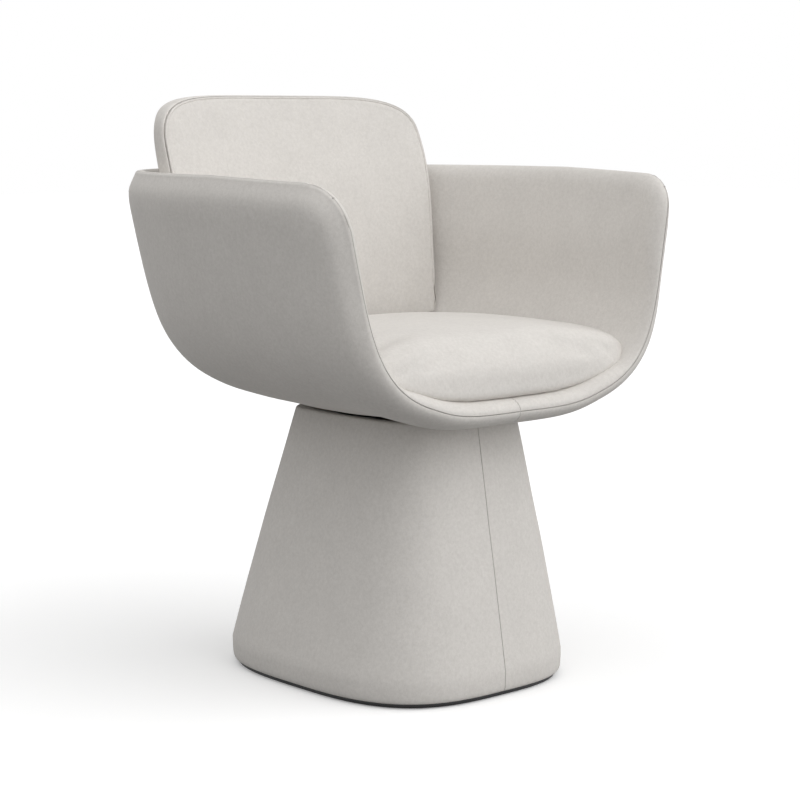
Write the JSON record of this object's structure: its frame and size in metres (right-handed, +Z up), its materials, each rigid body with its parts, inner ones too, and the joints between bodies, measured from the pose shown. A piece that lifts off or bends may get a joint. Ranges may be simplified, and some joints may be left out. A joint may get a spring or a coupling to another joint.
{
  "type": "pedestal swivel armchair",
  "caption": "Upholstered bucket armchair in pale wool felt, with wrapped tub, loose seat and back cushions, turning on a tapered upholstered pedestal",
  "frame": {"origin": "on the floor, below the centre of the overall bounding box", "axes": "+Z up, the seat faces -Y, +X to the viewer's right when facing the front"},
  "size_m": [0.6446, 0.5899, 0.7687],
  "materials": {
    "wool_felt": "pale greige felted wool with a fine mottled grain",
    "dust_cloth": "black non-woven cloth",
    "black_steel": "satin black powder coat",
    "zinc_steel": "bright zinc plate",
    "ball_steel": "polished bearing steel",
    "cage_brass": "stamped brass",
    "moulded_plastic": "rigid moulding under the upholstery",
    "plywood": "birch plywood",
    "glide_rubber": "matt black"
  },
  "bodies": {
    "pedestal": {"floor_plate": "black_steel", "glides": "glide_rubber", "column_foot_flange": "black_steel", "column_bolts": "zinc_steel", "column_tube": "black_steel", "column_gussets": "black_steel", "column_top_plate": "black_steel", "pedestal_core": "moulded_plastic", "core_foot_blocks": "plywood", "core_screws": "zinc_steel", "core_top_panel": "plywood", "pedestal_cover_left": "wool_felt", "pedestal_cover_right": "wool_felt", "swivel_lower_plate": "zinc_steel", "swivel_lower_bolts": "black_steel", "swivel_spindle": "zinc_steel", "bearing_cage": "cage_brass", "bearing_balls": "ball_steel"},
    "seat": {"swivel_upper_plate": "zinc_steel", "swivel_upper_bolts": "black_steel", "seat_board": "plywood", "seat_tee_nuts": "zinc_steel", "tub_shell": "moulded_plastic", "tub_cover_left": "wool_felt", "tub_cover_right": "wool_felt", "tub_lining_left": "wool_felt", "tub_lining_right": "wool_felt", "underside_panel": "dust_cloth", "seat_cushion_board": "plywood", "seat_cushion": "wool_felt", "backrest_board": "plywood", "backrest_cushion": "wool_felt", "backrest_rear_cover": "wool_felt", "backrest_welt": "wool_felt", "backrest_spacers": "black_steel", "backrest_bolts": "zinc_steel"}
  },
  "joints": [
    {"name": "seat_swivel", "type": "hinge", "parent": "pedestal", "child": "seat", "pos_m": [0, -0.072, 0.348], "axis": [0, 0, 1], "continuous": true}
  ]
}
